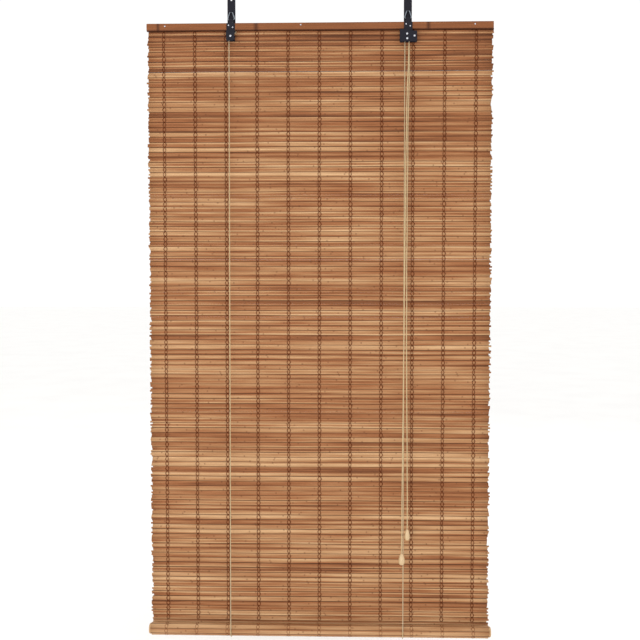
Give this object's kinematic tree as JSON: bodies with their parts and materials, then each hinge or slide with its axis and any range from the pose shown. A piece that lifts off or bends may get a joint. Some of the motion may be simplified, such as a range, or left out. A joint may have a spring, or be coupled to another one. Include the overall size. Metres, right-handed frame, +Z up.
{
  "type": "bamboo roll-up blind",
  "caption": "Roll-up blind of split bamboo slats woven with thread, raised by two looped cords over a pulley and a cord lock, hung on wall hooks.",
  "frame": {"origin": "centre of the four wall screws, on the wall's face", "axes": "+X to the right seen from the room, +Y into the wall, +Z up"},
  "size_m": [0.908, 0.0633, 1.719],
  "materials": {
    "bamboo_slats": "thin split bamboo, satin",
    "bamboo_turn": "thin split bamboo, satin",
    "bamboo_strip": "smooth bamboo, satin",
    "rod_wood": "turned wood",
    "black_steel": "dark painted sheet",
    "wire_steel": "plain wire",
    "bright_steel": "bright rivets and nails",
    "roller_plastic": "moulded rollers",
    "cam_metal": "cast, rough",
    "cord": "twisted cord",
    "knob_wood": "turned, varnished"
  },
  "bodies": {
    "wall_hangers": {"hanger_straps": "black_steel", "hanging_rings": "wire_steel"},
    "head": {"mat": "bamboo_slats", "head_batten": "bamboo_strip", "back_lath": "bamboo_strip", "batten_pins": "bright_steel", "bracket_nails": "bright_steel", "pulley_bracket": "black_steel", "lock_bracket": "black_steel", "axle_rivets": "bright_steel", "lift_cords_back": "cord", "lift_cords_front": "cord", "head_cords": "cord", "pull_cord_short": "cord", "pull_cord_long": "cord"},
    "pulley_roller": {"pulley_roller": "roller_plastic"},
    "lock_roller": {"lock_roller": "roller_plastic"},
    "guide_roller": {"guide_roller": "roller_plastic"},
    "locking_cam": {"locking_cam": "cam_metal"},
    "cord_loops": {"lift_cord_loops": "cord"},
    "foot_roll": {"bottom_rod": "rod_wood", "wound_turn": "bamboo_turn"},
    "tassels": {"knob_upper": "knob_wood", "knob_lower": "knob_wood"}
  },
  "joints": [
    {"name": "blind_swing", "type": "hinge", "parent": "wall_hangers", "child": "head", "pos_m": [0, -0.009, -0.065], "axis": [-1, 0, 0], "range_deg": [0, 20]},
    {"name": "pulley_spin", "type": "hinge", "parent": "head", "child": "pulley_roller", "pos_m": [-0.2295, -0.024, -0.1125], "axis": [0, -1, 0], "continuous": true},
    {"name": "lock_roller_spin", "type": "hinge", "parent": "head", "child": "lock_roller", "pos_m": [0.2265, -0.024, -0.11], "axis": [0, -1, 0], "continuous": true},
    {"name": "guide_roller_spin", "type": "hinge", "parent": "head", "child": "guide_roller", "pos_m": [0.2268, -0.024, -0.122], "axis": [0, -1, 0], "continuous": true},
    {"name": "cam_release", "type": "hinge", "parent": "head", "child": "locking_cam", "pos_m": [0.2456, -0.024, -0.1154], "axis": [0, -1, 0], "range_deg": [0, 30]},
    {"name": "roll_up", "type": "slide", "parent": "head", "child": "cord_loops", "axis": [0, 0, 1], "range_m": [0, 1.4355], "deforming": ["mat", "lift_cords_back", "lift_cords_front", "pull_cord_short", "pull_cord_long"]},
    {"name": "roll_turn", "type": "hinge", "parent": "cord_loops", "child": "foot_roll", "pos_m": [0, -0.0252, -1.6755], "axis": [-1, 0, 0], "range_deg": [0, 3240.5]},
    {"name": "tassel_swing", "type": "slide", "parent": "head", "child": "tassels", "axis": [0, -1, 0], "range_m": [0, 0.0241]}
  ],
  "couplings": [
    {"joint": "roll_turn", "follows": "roll_up", "rad_per_m": 39.393},
    {"joint": "tassel_swing", "follows": "roll_up", "ratio": 0.01672}
  ]
}
